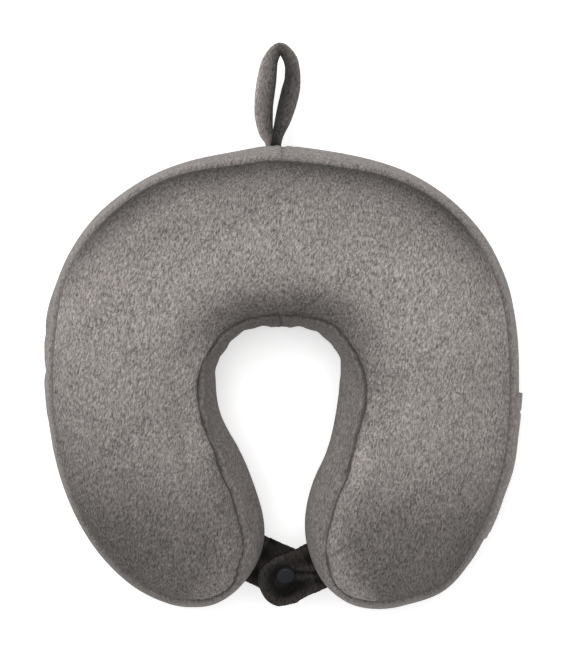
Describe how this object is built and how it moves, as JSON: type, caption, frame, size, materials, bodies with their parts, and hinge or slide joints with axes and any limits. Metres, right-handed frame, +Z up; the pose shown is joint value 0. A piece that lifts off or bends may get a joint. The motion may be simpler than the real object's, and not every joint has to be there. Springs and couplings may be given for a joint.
{
  "type": "u-shaped neck pillow",
  "caption": "U-shaped travel neck pillow: foam core in a zipped velour cover, with a hang loop at the back, a snap strap between the arms and a flat side pocket.",
  "frame": {"origin": "on the ground under the middle of the whole object's box, hang loop included", "axes": "+Z up through the pillow's thickness, +Y from the arms' ends to the centre back and its hang loop, +X to the right arm as seen from above"},
  "size_m": [0.3017, 0.3551, 0.104],
  "materials": {
    "velour": "matte",
    "dark_velour": "matte",
    "foam": "matte",
    "zip_tape": "matte",
    "zip_coil": "satin",
    "zip_metal": "satin",
    "stud_plastic": "satin"
  },
  "bodies": {
    "pillow": {"foam_core": "foam", "cover_top_panel": "velour", "cover_bottom_panel": "velour", "gusset_left": "velour", "gusset_right": "velour", "pocket_panel": "velour", "zip_tape_upper": "zip_tape", "zip_tape_lower": "zip_tape", "zip_coil_upper": "zip_coil", "zip_coil_lower": "zip_coil", "zip_stop_left": "zip_metal", "zip_stop_right": "zip_metal"},
    "zip_slider": {"zip_slider": "zip_metal"},
    "zip_pull": {"zip_pull": "zip_metal"},
    "hang_loop": {"hang_loop": "velour"},
    "strap_left": {"strap_tab_left": "dark_velour", "press_stud_knob": "stud_plastic", "press_stud_back": "stud_plastic"},
    "strap_right": {"strap_tab_right": "dark_velour", "press_stud_cap": "stud_plastic", "press_stud_socket": "stud_plastic"}
  },
  "joints": [
    {"name": "zip_travel", "type": "hinge", "parent": "pillow", "child": "zip_slider", "pos_m": [0, -0.11095, 0.0275], "axis": [0, 0, 1], "range_deg": [-39, 0]},
    {"name": "zip_pull_swing", "type": "hinge", "parent": "zip_slider", "child": "zip_pull", "pos_m": [-0.07314, 0.09558, 0.0275], "axis": [0, 0, 1], "range_deg": [0, 150]},
    {"name": "loop_swing", "type": "hinge", "parent": "pillow", "child": "hang_loop", "pos_m": [-0.006, 0.11295, 0.052], "axis": [1, 0, 0], "range_deg": [-75, 75]},
    {"name": "strap_left_swing", "type": "hinge", "parent": "pillow", "child": "strap_left", "pos_m": [-0.0162, -0.15305, 0.05], "axis": [-0.4258, -0.9048, 0], "range_deg": [-90, 0]},
    {"name": "strap_right_swing", "type": "hinge", "parent": "pillow", "child": "strap_right", "pos_m": [0.0162, -0.15305, 0.0574], "axis": [-0.4258, 0.9048, 0], "range_deg": [0, 100]}
  ]
}
